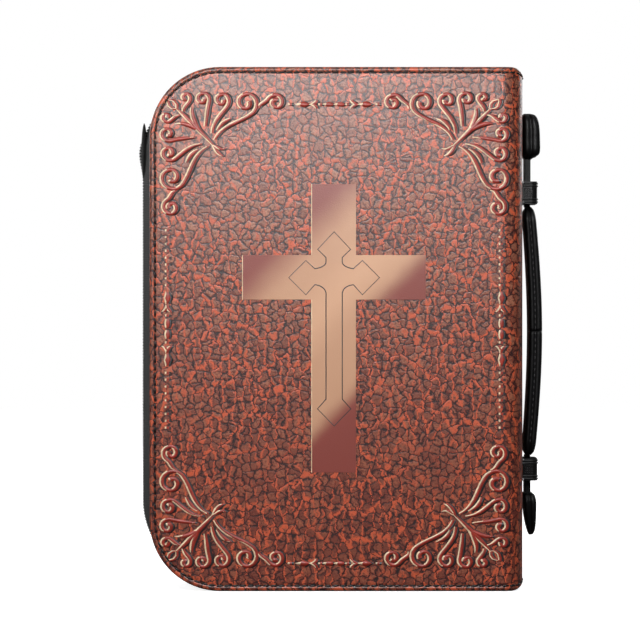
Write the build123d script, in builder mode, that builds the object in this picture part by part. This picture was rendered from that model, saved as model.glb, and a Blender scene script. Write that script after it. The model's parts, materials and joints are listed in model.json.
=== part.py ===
from build123d import *
import os

# A zip-around carry case with a bible inside it, standing on its tail edge.
# X runs from the fore edge to the spine, Y from the front cover to the back cover, and
# Z from the tail edge up to the head. The origin is on the surface that the case stands
# on, under the middle of the whole object. The back half is the front half's mirror.

# Case, outside
case_height = 245.0
case_width = 174.8  # fore edge of a panel to the outside of the spine
case_depth = 55.0  # over both panels
fore_corner_r = 33.0
spine_corner_r = 4.5
fold_r = 10.0  # fold between a panel and the spine
fold_gap = 0.3  # cut between the cover's half of the fold and the spine's half

# Layers of a cover and of the spine
skin_t = 1.2
board_t = 2.0
lining_t = 0.7
turn_in_t = 1.0  # skin turned in around a panel's edges
rim_r = 0.8
board_back = 1.0  # board stops this far short of the fold
stitch_inset = 2.6
stitch_w = 0.7
stitch_h = 0.3

# Sleeve inside each cover, which the bible's own cover slips into
sleeve_t = 0.6
sleeve_inset = 5.5
sleeve_width = 105.0

# Gusset and zip around head, fore edge and tail
gusset_t = 1.2
gusset_inset = 3.0  # fore side, where it is sewn to the panel
end_recess = 4.0  # head and tail, below the panel's edge
seam_bulge = 1.0  # fore side at the seam between gusset and tape, past the panel
coil_bulge = 4.8  # fore side at the coil, past the panel
gusset_share = 0.5  # of a half's depth, the rest is zip tape
tape_t = 0.7
coil_w = 2.4
coil_h = 2.2
coil_proud = 0.8  # coil stands this far out of its tape
coil_gap = 1.0  # between the two rows
zip_end_gap = 19.0  # from the outside of the spine to the ends of the zip
stop_length = 2.0

# Slider of the zip, parked at the head end near the spine
slider_length = 11.0
slider_width = 9.0
slider_nose = 6.0  # width of the end that the joined rows leave
slider_plate = 0.8
slider_play = 0.25
slider_park = 8.0  # slider's middle to the end of the zip
web_t = 0.4
web_length = 3.0
lug_width = 1.6
lug_height = 2.2
pin_r = 0.5
pin_play = 0.15
pull_length = 22.0
pull_width = 6.0
pull_t = 1.0
pull_lift = 0.5  # pull's under side above the slider's top plate
pull_heel = 0.75  # pull reaches this far past its pin
fork_length = 5.0  # from the pin to where the pull's two arms join
fork_play = 0.6

# Handle, a strap that slides through two keepers on the spine
keeper_spacing = 130.8
keeper_mid_z = 121.5
keeper_length = 10.5
keeper_width = 22.0
keeper_height = 7.6
keeper_r = 2.8
neck_low = 1.8  # strap's under side above the spine
neck_t = 2.8
neck_width = 11.0
slot_play = 0.4
upper_slack = 11.8  # strap showing between the upper keeper and its paddle
lower_slack = 5.7
paddle_length = 20.5
paddle_width = 22.0
paddle_end_r = 9.0
upper_paddle_low = 0.8
upper_paddle_t = 8.0
lower_paddle_low = 1.2
lower_paddle_t = 5.2
grip_gap = 1.4  # between a keeper and the grip's end
grip_width = 24.0
grip_end_low = 0.9
grip_mid_low = 3.7
grip_end_high = 6.4
handle_standoff = 9.7  # grip's middle above the spine
grip_cover_t = 1.3
grip_r = 2.0
rivet_r = 1.1
rivet_spacing = 17.0
rivet_depth = 2.5  # into the keeper's leg
plate_t = 1.0
plate_width = 24.0
plate_length = 9.0

# Bible
bible_end_gap = 3.8  # its covers to the gusset, at head and tail
bible_fore_gap = 12.0
bible_spine_gap = 1.5
bible_cover_t = 2.2
bible_cover_play = 0.2  # each side of it in the sleeve
bible_spine_t = 2.0
bible_hinge_gap = 3.5  # its cover boards stop this far short of the pages' back
bible_corner_r = 8.0
square = 2.5  # covers stand past the pages
page_play = 0.5  # pages to the sleeve
page_gap = 0.3  # between sections, and to the bible's spine
section_count = 6
band_width = 2.4
band_height = 1.8

# Places that follow from the sizes
spine_x = (case_width + coil_bulge - handle_standoff) / 2
fore_x = spine_x - case_width
fold_x = spine_x - fold_r
half_depth = case_depth / 2
panel_t = skin_t + board_t + lining_t
panel_in = half_depth - panel_t
sleeve_in = panel_in - bible_cover_t - 2 * bible_cover_play - sleeve_t
zip_end_x = spine_x - zip_end_gap
coil_out = coil_gap / 2 + coil_w
seam_y = panel_in - gusset_share * (panel_in - coil_out)
coil_top = case_height - end_recess + coil_proud
lining_x = spine_x - panel_t
bible_x = lining_x - bible_spine_gap
page_x = bible_x - bible_spine_t - page_gap
bible_fore_x = fore_x + gusset_inset + gusset_t + bible_fore_gap
bible_low = end_recess + gusset_t + bible_end_gap
bible_high = case_height - bible_low
page_half = sleeve_in - page_play
upper_keeper_z = keeper_mid_z + keeper_spacing / 2
lower_keeper_z = keeper_mid_z - keeper_spacing / 2

os.makedirs("parts", exist_ok=True)


def save(piece, name):
    piece.part.label = name
    export_step(piece.part, f"parts/{name}.step")


def save_pair(piece, name):
    """The front cover's piece, and its mirror for the back cover."""
    save(piece, f"front_{name}")
    with BuildPart() as twin:
        mirror(piece.part, about=Plane.XZ)
    save(twin, f"back_{name}")


def panel_outline(inset, right):
    """A cover seen from the front: round at the fore corners, open-ended at the fold."""
    low, high = inset, case_height - inset
    fore = fore_x + inset
    corners = ((right, low), (fore, low), (fore, high), (right, high))
    with BuildSketch() as outline:
        with BuildLine():
            FilletPolyline(*corners, radius=fore_corner_r - inset)
            Line((right, high), (right, low))
        make_face()
    return outline.sketch


def band_outline(fore, end_inset, radius, wall, right):
    """A strip that runs along head, fore edge and tail, seen from the front."""
    low, high = end_inset, case_height - end_inset
    outer = ((right, low), (fore, low), (fore, high), (right, high))
    low, high, fore_in = low + wall, high - wall, fore + wall
    inner = ((right, low), (fore_in, low), (fore_in, high), (right, high))
    with BuildSketch() as outline:
        with BuildLine():
            out_line = FilletPolyline(*outer, radius=radius)
            in_line = FilletPolyline(*inner, radius=radius - wall)
            Line(out_line @ 0, in_line @ 0)
            Line(out_line @ 1, in_line @ 1)
        make_face()
    return outline.sketch


def wrap_section(inset, wall):
    """Plan of a layer that wraps around the spine and both folds."""
    width = 4 * fold_r
    with BuildSketch() as ring:
        with Locations((spine_x - inset - width / 2, 0)):
            RectangleRounded(width, case_depth - 2 * inset, fold_r - inset)
            inner = (width - 2 * wall, case_depth - 2 * inset - 2 * wall)
            RectangleRounded(*inner, fold_r - inset - wall, mode=Mode.SUBTRACT)
    return ring.sketch


fold_y = half_depth - fold_r
half_gap = fold_gap / 2 * 2**0.5
reach = 3 * fold_r


def cover_side():
    """The part of the front fold that turns with the cover, in plan."""
    low = -fold_y - half_gap
    with BuildSketch() as wedge:
        with BuildLine():
            Polyline((fold_x, low), (fold_x + reach, low - reach), (fold_x, low - reach), close=True)
        make_face()
    return wedge.sketch


def spine_side():
    """The parts of both folds that stay with the spine, in plan."""
    near, far = fold_y - half_gap, fold_y - half_gap + reach
    tip_x = fold_x + reach
    with BuildSketch() as wedge:
        with BuildLine():
            Polyline((fold_x, -near), (tip_x, -far), (tip_x, far), (fold_x, near), close=True)
        make_face()
    return wedge.sketch


def wrap_outline(inset):
    """The case seen from the front, with its small corners at the spine."""
    low, high = inset, case_height - inset
    fore, back = fold_x - fore_corner_r, spine_x - inset
    with BuildSketch() as outline:
        with BuildLine():
            FilletPolyline(
                (fore, low), (back, low), (back, high), (fore, high), radius=spine_corner_r - inset
            )
            Line((fore, high), (fore, low))
        make_face()
    return outline.sketch


# Covers: skin, board, lining

with BuildPart() as cover_skin:
    with BuildSketch():
        add(wrap_section(0, skin_t))
        add(cover_side(), mode=Mode.INTERSECT)
    extrude(amount=case_height)
    with BuildSketch(Plane.XZ.offset(half_depth)):
        add(wrap_outline(0))
    extrude(amount=-case_depth, mode=Mode.INTERSECT)
    with BuildSketch(Plane.XZ.offset(half_depth)):
        add(panel_outline(0, fold_x))
    extrude(amount=-panel_t)
    with BuildSketch(Plane.XZ.offset(half_depth - skin_t)):
        add(panel_outline(turn_in_t, fold_x))
    extrude(amount=-board_t - lining_t, mode=Mode.SUBTRACT)
    outer_edges = cover_skin.faces().sort_by(Axis.Y)[0].edges()
    fillet(outer_edges.filter_by(lambda edge: edge.center().X < fold_x - rim_r), rim_r)
save_pair(cover_skin, "cover_skin")

with BuildPart() as cover_board:
    with BuildSketch(Plane.XZ.offset(half_depth - skin_t)):
        add(panel_outline(turn_in_t, fold_x - board_back))
    extrude(amount=-board_t)
save_pair(cover_board, "cover_board")

with BuildPart() as cover_lining:
    with BuildSketch(Plane.XY.offset(turn_in_t)):
        add(wrap_section(skin_t + board_t, lining_t))
        add(cover_side(), mode=Mode.INTERSECT)
    extrude(amount=case_height - 2 * turn_in_t)
    with BuildSketch(Plane.XZ.offset(half_depth - skin_t - board_t)):
        add(panel_outline(turn_in_t, fold_x))
    extrude(amount=-lining_t)
save_pair(cover_lining, "cover_lining")

with BuildPart() as cover_stitching:
    with BuildSketch(Plane.XZ.offset(half_depth)):
        radius = fore_corner_r - stitch_inset
        add(band_outline(fore_x + stitch_inset, stitch_inset, radius, stitch_w, fold_x))
    extrude(amount=stitch_h)
save_pair(cover_stitching, "cover_stitching")

sleeve_x = fore_x + sleeve_width
with BuildPart() as inner_sleeve:
    with BuildSketch(Plane.XZ.offset(panel_in)):
        add(panel_outline(sleeve_inset, sleeve_x))
    extrude(amount=sleeve_in - panel_in)
    with BuildSketch(Plane.XZ.offset(panel_in)):
        add(panel_outline(sleeve_inset + sleeve_t, sleeve_x))
    extrude(amount=sleeve_in + sleeve_t - panel_in, mode=Mode.SUBTRACT)
save_pair(inner_sleeve, "inner_sleeve")

# Spine: skin, board, lining

rivet_points = [
    (side * rivet_spacing / 2, z) for z in (lower_keeper_z, upper_keeper_z) for side in (-1, 1)
]
keeper_points = [(0, lower_keeper_z), (0, upper_keeper_z)]
rivet_foot = spine_x - skin_t - board_t + plate_t

with BuildPart() as spine_skin:
    with BuildSketch():
        add(wrap_section(0, skin_t))
        add(spine_side(), mode=Mode.INTERSECT)
    extrude(amount=case_height)
    with BuildSketch(Plane.XZ.offset(half_depth)):
        add(wrap_outline(0))
    extrude(amount=-case_depth, mode=Mode.INTERSECT)
    with BuildSketch(Plane.YZ.offset(spine_x - skin_t)):
        with Locations(*rivet_points):
            Circle(rivet_r)
    extrude(amount=skin_t, mode=Mode.SUBTRACT)
save(spine_skin, "spine_skin")

with BuildPart() as spine_board:
    with BuildSketch(Plane.YZ.offset(spine_x - skin_t)):
        with Locations((0, case_height / 2)):
            Rectangle(2 * (fold_y - board_back), case_height - 2 * spine_corner_r)
    extrude(amount=-board_t)
    with BuildSketch(Plane.YZ.offset(spine_x - skin_t - board_t)):
        with Locations(*keeper_points):
            Rectangle(plate_width, plate_length)
    extrude(amount=plate_t, mode=Mode.SUBTRACT)
    with BuildSketch(Plane.YZ.offset(rivet_foot)):
        with Locations(*rivet_points):
            Circle(rivet_r)
    extrude(amount=board_t - plate_t, mode=Mode.SUBTRACT)
save(spine_board, "spine_board")

with BuildPart() as spine_lining:
    with BuildSketch(Plane.XY.offset(spine_corner_r)):
        add(wrap_section(skin_t + board_t, lining_t))
        add(spine_side(), mode=Mode.INTERSECT)
    extrude(amount=case_height - 2 * spine_corner_r)
save(spine_lining, "spine_lining")

# Gusset, zip tape and zip rows

corner_x = fore_x + fore_corner_r
with BuildPart() as zip_gusset:
    for depth, fore in ((panel_in, fore_x + gusset_inset), (seam_y, fore_x - seam_bulge)):
        with BuildSketch(Plane.XZ.offset(depth)):
            add(band_outline(fore, end_recess, corner_x - fore, gusset_t, zip_end_x))
    loft(ruled=True)
save_pair(zip_gusset, "zip_gusset")

with BuildPart() as zip_tape:
    for depth, fore in ((seam_y, fore_x - seam_bulge), (coil_out, fore_x - coil_bulge + coil_proud)):
        with BuildSketch(Plane.XZ.offset(depth)):
            add(band_outline(fore, end_recess, corner_x - fore, tape_t, zip_end_x))
    loft(ruled=True)
save_pair(zip_tape, "zip_tape")

with BuildPart() as zip_row:
    with BuildSketch(Plane.XZ.offset(coil_out)):
        fore = fore_x - coil_bulge
        add(band_outline(fore, end_recess - coil_proud, corner_x - fore, coil_h, zip_end_x))
    extrude(amount=-coil_w)
save_pair(zip_row, "zip_row")

with BuildPart() as zip_stops:
    with BuildSketch(Plane.XZ.offset(coil_out)):
        stop_z = coil_top - coil_h / 2
        with Locations(*[(zip_end_x + stop_length / 2, z) for z in (stop_z, case_height - stop_z)]):
            Rectangle(stop_length, coil_h)
    extrude(amount=-coil_w)
save_pair(zip_stops, "zip_stops")

# Slider and its pull

slider_x = zip_end_x - slider_park
top_plate_z = coil_top + slider_play
low_plate_z = coil_top - coil_h - slider_play - slider_plate
lug_z = top_plate_z + slider_plate
pin_z = lug_z + pull_lift + pull_t / 2
slider_nose_x = slider_x - slider_length / 2
slider_mouth_x = slider_x + slider_length / 2

with BuildPart() as slider_body:
    for z in (low_plate_z, top_plate_z):
        with BuildSketch(Plane.XY.offset(z)):
            with BuildLine():
                Polyline(
                    (slider_nose_x, -slider_nose / 2),
                    (slider_mouth_x - web_length, -slider_width / 2),
                    (slider_mouth_x, -slider_width / 2),
                    (slider_mouth_x, slider_width / 2),
                    (slider_mouth_x - web_length, slider_width / 2),
                    (slider_nose_x, slider_nose / 2),
                    close=True,
                )
            make_face()
        extrude(amount=slider_plate)
    with BuildSketch(Plane.XY.offset(low_plate_z)):
        with Locations((slider_mouth_x - web_length / 2, 0)):
            Rectangle(web_length, web_t)
    extrude(amount=top_plate_z - low_plate_z)
    with BuildSketch(Plane.XZ.offset(-lug_width / 2)):
        with Locations((slider_x, lug_z + lug_height / 2)):
            Rectangle(2 * lug_height, lug_height)
        with Locations((slider_x, pin_z)):
            Circle(pin_r + pin_play, mode=Mode.SUBTRACT)
    extrude(amount=lug_width)
save(slider_body, "slider_body")

with BuildPart() as slider_pull:
    with BuildSketch(Plane.XY.offset(pin_z - pull_t / 2)) as pull_plan:
        with Locations((slider_x + pull_heel - pull_length / 2, 0)):
            Rectangle(pull_length, pull_width)
        fillet(pull_plan.vertices().group_by(Axis.X)[0], pull_width / 3)
        with Locations((slider_x + pull_heel - fork_length / 2, 0)):
            Rectangle(fork_length, lug_width + 2 * fork_play, mode=Mode.SUBTRACT)
    extrude(amount=pull_t)
    with BuildSketch(Plane.XZ.offset(-lug_width)):
        with Locations((slider_x, pin_z)):
            Circle(pin_r)
    extrude(amount=2 * lug_width)
save(slider_pull, "slider_pull")

# Handle

for name, middle in (("upper_keeper", upper_keeper_z), ("lower_keeper", lower_keeper_z)):
    with BuildPart() as keeper:
        with BuildSketch(Plane.XY.offset(middle - keeper_length / 2)):
            with Locations((spine_x + keeper_height / 2, 0)):
                Rectangle(keeper_height, keeper_width)
            with Locations((spine_x + neck_low + neck_t / 2, 0)):
                slot = (neck_t + 2 * slot_play, neck_width + 2 * slot_play)
                Rectangle(*slot, mode=Mode.SUBTRACT)
        extrude(amount=keeper_length)
        fillet(keeper.edges().filter_by(Axis.Z).group_by(Axis.X)[-1], keeper_r)
        with BuildSketch(Plane.YZ.offset(spine_x)):
            with Locations(*[point for point in rivet_points if point[1] == middle]):
                Circle(rivet_r)
        extrude(amount=rivet_depth, mode=Mode.SUBTRACT)
    save(keeper, name)

for name, middle in (("upper_rivets", upper_keeper_z), ("lower_rivets", lower_keeper_z)):
    with BuildPart() as rivets:
        with BuildSketch(Plane.YZ.offset(rivet_foot)):
            with Locations(*[point for point in rivet_points if point[1] == middle]):
                Circle(rivet_r)
        extrude(amount=spine_x + rivet_depth - rivet_foot)
    save(rivets, name)

for name, middle in (("upper_backing_plate", upper_keeper_z), ("lower_backing_plate", lower_keeper_z)):
    with BuildPart() as backing_plate:
        with BuildSketch(Plane.YZ.offset(rivet_foot - plate_t)):
            with Locations((0, middle)):
                Rectangle(plate_width, plate_length)
        extrude(amount=plate_t)
    save(backing_plate, name)

grip_low_z = lower_keeper_z + keeper_length / 2 + grip_gap
grip_high_z = upper_keeper_z - keeper_length / 2 - grip_gap


def grip_outline(inset):
    """The grip seen from the front, bowed away from the spine."""
    low, high = grip_low_z + inset, grip_high_z - inset
    under = [spine_x + height + inset for height in (grip_end_low, grip_mid_low, grip_end_low)]
    over = [spine_x + height - inset for height in (grip_end_high, handle_standoff, grip_end_high)]
    heights = (low, keeper_mid_z, high)
    with BuildSketch() as outline:
        with BuildLine():
            ThreePointArc(*zip(under, heights))
            ThreePointArc(*zip(over, heights))
            Line((under[0], low), (over[0], low))
            Line((under[2], high), (over[2], high))
        make_face()
    return outline.sketch


with BuildPart() as grip_core:
    with BuildSketch(Plane.XZ):
        add(grip_outline(grip_cover_t))
    extrude(amount=grip_width / 2 - grip_cover_t, both=True)
save(grip_core, "grip_core")

with BuildPart() as grip_cover:
    with BuildSketch(Plane.XZ):
        add(grip_outline(0))
    extrude(amount=grip_width / 2, both=True)
    fillet(grip_cover.edges().filter_by(GeomType.CIRCLE), grip_r)
    add(grip_core.part, mode=Mode.SUBTRACT)
save(grip_cover, "grip_cover")

upper_shoulder_z = upper_keeper_z + keeper_length / 2 + upper_slack
lower_shoulder_z = lower_keeper_z - keeper_length / 2 - lower_slack
paddles = (
    ("upper_paddle", upper_shoulder_z, 1, upper_paddle_low, upper_paddle_t),
    ("lower_paddle", lower_shoulder_z, -1, lower_paddle_low, lower_paddle_t),
)
for name, shoulder, side, low, thickness in paddles:
    with BuildPart() as paddle:
        with BuildSketch(Plane.YZ.offset(spine_x + low)) as leaf:
            with Locations((0, shoulder + side * paddle_length / 2)):
                Rectangle(paddle_width, paddle_length)
            far_corners = leaf.vertices().group_by(Axis.Y)[-1 if side > 0 else 0]
            fillet(far_corners, paddle_end_r)
        extrude(amount=thickness)
    save(paddle, name)

necks = (
    ("upper_neck", upper_keeper_z - keeper_length / 2, upper_shoulder_z),
    ("lower_neck", lower_shoulder_z, lower_keeper_z + keeper_length / 2),
)
for name, low, high in necks:
    with BuildPart() as neck:
        with BuildSketch(Plane.XY.offset(low)):
            with Locations((spine_x + neck_low + neck_t / 2, 0)):
                Rectangle(neck_t, neck_width)
        extrude(amount=high - low)
    save(neck, name)

# Bible: covers, spine, bands and page sections


def book_outline(inset, right):
    """A cover board or a page seen from the front, with round fore corners."""
    low, high = bible_low + inset, bible_high - inset
    fore = bible_fore_x + inset
    with BuildSketch() as outline:
        with BuildLine():
            corners = ((right, low), (fore, low), (fore, high), (right, high))
            FilletPolyline(*corners, radius=bible_corner_r)
            Line((right, high), (right, low))
        make_face()
    return outline.sketch


with BuildPart() as bible_cover:
    with BuildSketch(Plane.XZ.offset(panel_in - bible_cover_play)):
        add(book_outline(0, page_x - bible_hinge_gap))
    extrude(amount=-bible_cover_t)
save_pair(bible_cover, "bible_cover")

with BuildPart() as bible_spine:
    with BuildSketch(Plane.XY.offset(bible_low)):
        with Locations((bible_x - bible_spine_t / 2, 0)):
            Rectangle(bible_spine_t, 2 * page_half)
    extrude(amount=bible_high - bible_low)
save(bible_spine, "bible_spine")

page_low = bible_low + square
page_high = bible_high - square
for name, low in (("tail_band", page_low - page_gap - band_height), ("head_band", page_high + page_gap)):
    with BuildPart() as band:
        with BuildSketch(Plane.XY.offset(low)):
            with Locations((bible_x - bible_spine_t - band_width / 2, 0)):
                Rectangle(band_width, 2 * (page_half - page_gap))
        extrude(amount=band_height)
    save(band, name)

section_t = (2 * page_half + page_gap) / section_count - page_gap
for index in range(section_count):
    outer = page_half - index * (section_t + page_gap)
    with BuildPart() as section:
        with BuildSketch(Plane.XZ.offset(outer)):
            add(book_outline(square, page_x))
        extrude(amount=-section_t)
    save(section, f"page_section_{index + 1}")
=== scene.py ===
# %% [markdown]
# # A zip-around bible case
# The frame of the case comes from its CAD model: boards, zip gusset, pages and joints.
# This lesson dresses it. The printed leather skin, the raised scrollwork, the stitches,
# the coil of the zip and the padded handle are made here, in metres, around that frame.

# %% Load the frame
import json
import math

import bmesh
import bpy
from mathutils import Matrix, Vector


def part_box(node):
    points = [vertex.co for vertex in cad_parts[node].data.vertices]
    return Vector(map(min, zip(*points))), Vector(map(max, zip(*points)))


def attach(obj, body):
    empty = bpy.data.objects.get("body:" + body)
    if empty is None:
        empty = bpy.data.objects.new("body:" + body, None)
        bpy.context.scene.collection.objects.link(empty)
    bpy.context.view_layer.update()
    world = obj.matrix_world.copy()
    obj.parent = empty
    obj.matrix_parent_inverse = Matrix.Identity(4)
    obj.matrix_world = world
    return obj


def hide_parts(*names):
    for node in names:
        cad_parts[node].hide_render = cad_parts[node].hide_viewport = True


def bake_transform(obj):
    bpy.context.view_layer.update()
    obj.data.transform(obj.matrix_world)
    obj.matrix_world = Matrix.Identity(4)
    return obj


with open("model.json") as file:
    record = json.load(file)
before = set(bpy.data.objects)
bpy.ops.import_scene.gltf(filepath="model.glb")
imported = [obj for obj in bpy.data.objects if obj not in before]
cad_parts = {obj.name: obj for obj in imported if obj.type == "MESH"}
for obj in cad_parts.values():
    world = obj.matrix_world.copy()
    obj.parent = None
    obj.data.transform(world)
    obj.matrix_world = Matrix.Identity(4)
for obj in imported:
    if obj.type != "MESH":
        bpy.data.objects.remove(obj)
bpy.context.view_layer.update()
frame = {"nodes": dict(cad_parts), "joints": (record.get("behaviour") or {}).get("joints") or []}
nodes = frame["nodes"]
joints = {joint["name"]: joint for joint in frame["joints"]}
MM = 0.001

# %% [markdown]
# Every place is read from the frame. The skin lies flat over a cover, turns a round fold
# and ends at the middle of the spine, so its sizes are the panel's edges and the fold's
# radius. The hinge line is at the middle of the fold, which gives that radius.

# %% Read the sizes of the case
skin_low, skin_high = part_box("front_cover_skin")
fore_x, face_y, height = skin_low.x, skin_low.y + 0, skin_high.z
hinge = Vector(joints["front_cover_hinge"]["pos_m"])
spine_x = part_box("spine_skin")[1].x
fold_r = (spine_x - hinge.x) / (1 - math.sqrt(0.5))
fold_x = spine_x - fold_r
fold_arc = fold_r * math.pi / 2
sheet_end = fold_x + fold_arc - face_y - fold_r
panel_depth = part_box("front_cover_lining")[1].y
fore_corner_r = 33 * MM
spine_corner_r = 4.5 * MM
CORNER_DROP = 0.95  # the skin's corner, as a share of the boards' own, so it covers their ends
mid_z = height / 2
print("fold radius", round(fold_r / MM, 2), "mm, sheet ends at", round(sheet_end / MM, 1))

# %% [markdown]
# The skin, its stitches and its print are all modelled flat, as the leather was before it
# was sewn, with x along the sheet and y as the height above it. This helper then wraps a
# mesh around the case: flat on the cover, round at the fold, flat again on the spine.

# %% Wrap a flat sheet around the case
def wrapped(x, out, z):
    """The place on the front half of the case of a point of the flat sheet."""
    turn = min(max((x - fold_x) / fold_r, 0), math.pi / 2)
    centre_y = face_y + fold_r
    point = Vector((min(x, fold_x), centre_y, z))
    point += (fold_r + out) * Vector((math.sin(turn), -math.cos(turn), 0))
    point.y += max(x - fold_x - fold_arc, 0)
    near_spine = max(point.x - out - (spine_x - spine_corner_r), 0)
    round_part = math.sqrt(max(spine_corner_r**2 - near_spine**2, 0))
    drop = CORNER_DROP * (spine_corner_r - round_part)
    edge = 10 * MM
    top, low = max(z - (height - edge), 0) / edge, max(edge - z, 0) / edge
    point.z += drop * (low**2 - top**2)
    return point


def wrap_mesh(mesh, back=False):
    """Wraps a flat mesh around the front half, or turns it to the back half."""
    for vertex in mesh.vertices:
        place = wrapped(vertex.co.x, -vertex.co.y, vertex.co.z)
        vertex.co = Vector((place.x, -place.y, place.z)) if back else place
    if back:
        mesh.flip_normals()
    mesh.update()


# %% [markdown]
# New pieces are made with bmesh. These helpers turn a finished bmesh into an object with
# a material, and bake a piece's place into its mesh.

# %% Helpers for finished pieces
def make_object(name, mesh, material, smooth=True):
    mesh.materials.append(material)
    for polygon in mesh.polygons:
        polygon.use_smooth = smooth
    piece = bpy.data.objects.new(name, mesh)
    bpy.context.scene.collection.objects.link(piece)
    return piece


def from_bmesh(name, bm, material, smooth=True):
    mesh = bpy.data.meshes.new(name)
    bm.to_mesh(mesh)
    bm.free()
    return make_object(name, mesh, material, smooth)


def bend_with_cover(piece):
    """Bakes the piece's place into its mesh."""
    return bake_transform(piece)


# %% [markdown]
# Materials are node trees. One helper adds a node with its inputs, so a finish reads from
# top to bottom. Colours are given as they look, and turned to linear light here.

# %% Helpers for materials
def linear(red, green, blue):
    """A colour from 0 to 255 as it looks, in linear light."""
    def one(value):
        value /= 255
        return value / 12.92 if value < 0.04045 else ((value + 0.055) / 1.055) ** 2.4
    return (one(red), one(green), one(blue), 1)


def add_node(tree, kind, inputs=(), **settings):
    node = tree.nodes.new(kind)
    for key, value in settings.items():
        setattr(node, key, value)
    for key, value in dict(inputs).items():
        if isinstance(value, bpy.types.NodeSocket):
            tree.links.new(value, node.inputs[key])
        else:
            node.inputs[key].default_value = value
    return node


def mix_colour(tree, factor, first, second, blend="MIX"):
    inputs = {0: factor, 6: first, 7: second}
    return add_node(tree, "ShaderNodeMix", inputs, data_type="RGBA", blend_type=blend).outputs[2]


def maths(tree, operation, first, second=0.0):
    return add_node(tree, "ShaderNodeMath", {0: first, 1: second}, operation=operation).outputs[0]


def ramp(tree, value, low, high, from_low=0.0, from_high=1.0):
    """value goes smoothly from low to high as it passes from from_low to from_high."""
    inputs = {"Value": value, 1: from_low, 2: from_high, 3: low, 4: high}
    return add_node(tree, "ShaderNodeMapRange", inputs, interpolation_type="SMOOTHSTEP").outputs[0]


def noise(tree, coords, scale, detail=2.0, roughness=0.5):
    inputs = {"Vector": coords, "Scale": scale, "Detail": detail, "Roughness": roughness}
    return add_node(tree, "ShaderNodeTexNoise", inputs)


def start_material(name, roughness, **shader_inputs):
    material = bpy.data.materials.new(name)
    material.use_nodes = True
    tree = material.node_tree
    shader = tree.nodes["Principled BSDF"]
    shader.inputs["Roughness"].default_value = roughness
    for key, value in shader_inputs.items():
        shader.inputs[key.replace("_", " ")].default_value = value
    coords = add_node(tree, "ShaderNodeTexCoord").outputs["Object"]
    return material, tree, shader, coords


def add_bump(tree, shader, heights, distance, strength=1.0):
    inputs = {"Height": heights, "Distance": distance, "Strength": strength}
    bump = add_node(tree, "ShaderNodeBump", inputs)
    tree.links.new(bump.outputs[0], shader.inputs["Normal"])


# %% [markdown]
# The skin is polyurethane leather with a crackle print: tan pebbles, dark cracks between
# them, and an orange-red ridge beside each crack, as if the light came from one side. A
# Voronoi texture gives the cracks. The same cracks, moved half a millimetre, give the
# ridges. The pattern reads the flat sheet's own UV map, so it bends with the fold.

# %% Crackle-printed leather
CELLS_PER_METRE = 262.0
GRAIN_DEPTH = 0.00006


def cracks(tree, coords, scale):
    inputs = {"Vector": coords, "Scale": scale, "Randomness": 1.0}
    settings = {"feature": "DISTANCE_TO_EDGE", "voronoi_dimensions": "2D"}
    return add_node(tree, "ShaderNodeTexVoronoi", inputs, **settings).outputs[0]


def moved(tree, coords, offset):
    inputs = {0: coords, 1: offset}
    return add_node(tree, "ShaderNodeVectorMath", inputs, operation="ADD").outputs[0]


def grain_heights(tree, coords):
    """The fine pebbled grain that the leather's roller leaves, 0.5 mm across."""
    cells = add_node(tree, "ShaderNodeTexVoronoi", {"Vector": coords, "Scale": 2100.0})
    fine = noise(tree, coords, 3400.0, 1.0).outputs[0]
    return maths(tree, "ADD", cells.outputs["Distance"], maths(tree, "MULTIPLY", fine, 0.5))


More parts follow.
